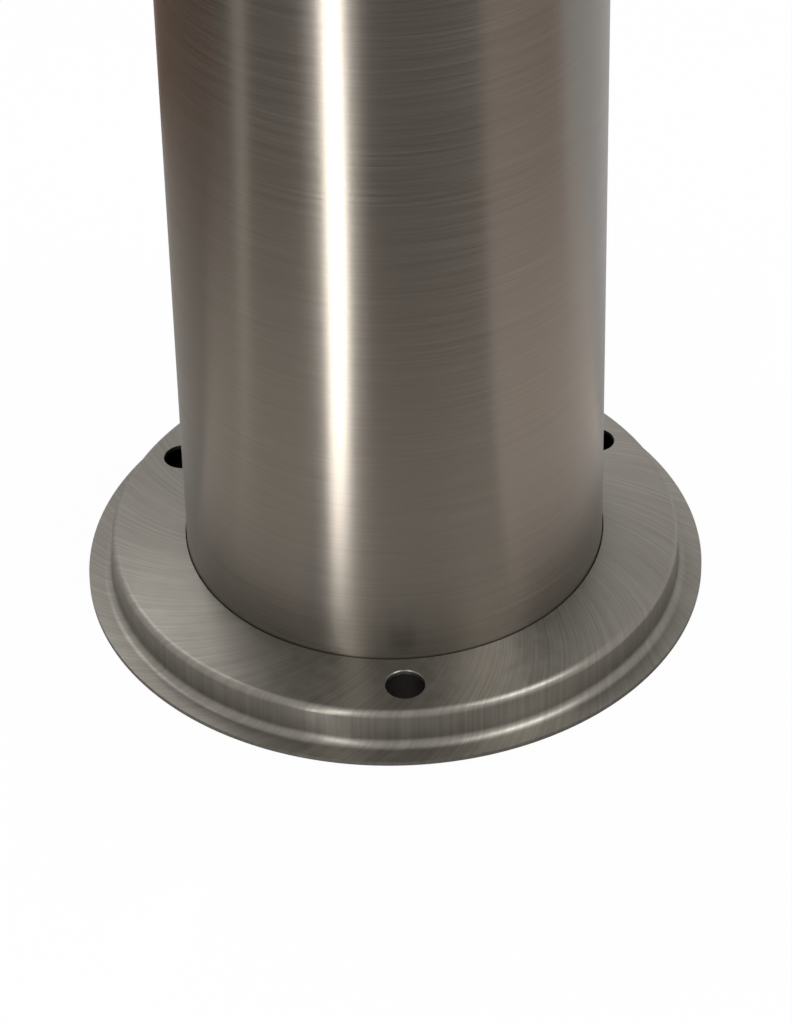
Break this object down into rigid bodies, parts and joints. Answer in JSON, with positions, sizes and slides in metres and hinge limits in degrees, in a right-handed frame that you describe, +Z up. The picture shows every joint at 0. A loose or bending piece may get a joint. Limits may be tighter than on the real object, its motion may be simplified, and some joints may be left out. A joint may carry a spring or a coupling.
{
  "type": "retractable bollard",
  "caption": "Round brushed stainless post that slides down into a casing in the ground, under a round pressed cover with fixing holes.",
  "frame": {"origin": "on the post's axis at paving level, in the ground flange's top face", "axes": "+Z up along the post; one fixing hole at the front on -Y"},
  "size_m": [0.207, 0.2185, 2.0625],
  "materials": {
    "satin_steel": "fine brushed",
    "mill_steel": "mill finish",
    "zinc_steel": "hot-dip galvanised",
    "black_rubber": "matt",
    "guide_plastic": "natural polyamide",
    "bronze": "turned",
    "strut_black": "gloss black",
    "hard_chrome": "ground",
    "zinc_screw": "stainless screw"
  },
  "bodies": {
    "casing": {"casing_tube": "zinc_steel", "ground_flange": "zinc_steel", "cover_flange": "satin_steel", "seal_carrier": "zinc_steel", "wiper_seal": "black_rubber", "upper_guide_bush": "guide_plastic", "guide_rail": "zinc_steel", "base_plate": "zinc_steel", "drain_spigot": "zinc_steel", "drain_grate": "zinc_steel", "rubber_buffer": "black_rubber", "strike_pockets": "zinc_steel", "anchor_lugs": "zinc_steel", "strut_foot": "zinc_steel", "strut_foot_pin": "zinc_screw", "gas_cylinder": "strut_black", "strut_gland": "guide_plastic"},
    "post": {"post_tube": "satin_steel", "post_cap": "satin_steel", "cap_spigot": "mill_steel", "cap_screws": "zinc_screw", "foot_ring": "mill_steel", "guide_rings": "guide_plastic", "guide_ring_screws": "zinc_screw", "bolt_carrier": "mill_steel", "carrier_screws": "zinc_screw", "strut_bracket": "mill_steel", "bracket_screws": "zinc_screw", "gas_rod": "hard_chrome", "rod_nuts": "zinc_screw", "lock_rod_bushes": "bronze", "spindle_bush": "bronze", "flap_screw": "zinc_screw", "handle_pins": "zinc_screw"},
    "key": {"key_spindle": "mill_steel", "lock_rod": "mill_steel", "lock_rod_pins": "zinc_screw", "scroll_cam": "mill_steel"},
    "right_bolt": {"lock_bolt_right": "mill_steel", "bolt_pin_right": "zinc_screw"},
    "left_bolt": {"lock_bolt_left": "mill_steel", "bolt_pin_left": "zinc_screw"},
    "handle": {"lift_handle": "satin_steel"},
    "flap": {"keyhole_cover": "satin_steel"}
  },
  "joints": [
    {"name": "post_slide", "type": "slide", "parent": "casing", "child": "post", "axis": [0, 0, 1], "range_m": [-0.882, 0]},
    {"name": "key_turn", "type": "hinge", "parent": "post", "child": "key", "pos_m": [0, 0, 0.874], "axis": [0, 0, 1], "range_deg": [0, 90]},
    {"name": "right_bolt_slide", "type": "slide", "parent": "post", "child": "right_bolt", "axis": [1, 0, 0], "range_m": [0, 0.0091]},
    {"name": "left_bolt_slide", "type": "slide", "parent": "post", "child": "left_bolt", "axis": [-1, 0, 0], "range_m": [0, 0.0091]},
    {"name": "handle_lift", "type": "hinge", "parent": "post", "child": "handle", "pos_m": [0, 0, 0.8946], "axis": [-1, 0, 0], "range_deg": [0, 90]},
    {"name": "flap_swing", "type": "hinge", "parent": "post", "child": "flap", "pos_m": [0, 0.024, 0.8985], "axis": [0, 0, 1], "range_deg": [0, 90]}
  ],
  "couplings": [
    {"joint": "right_bolt_slide", "follows": "key_turn", "m_per_rad": 0.0057296},
    {"joint": "left_bolt_slide", "follows": "key_turn", "m_per_rad": 0.0057296}
  ]
}
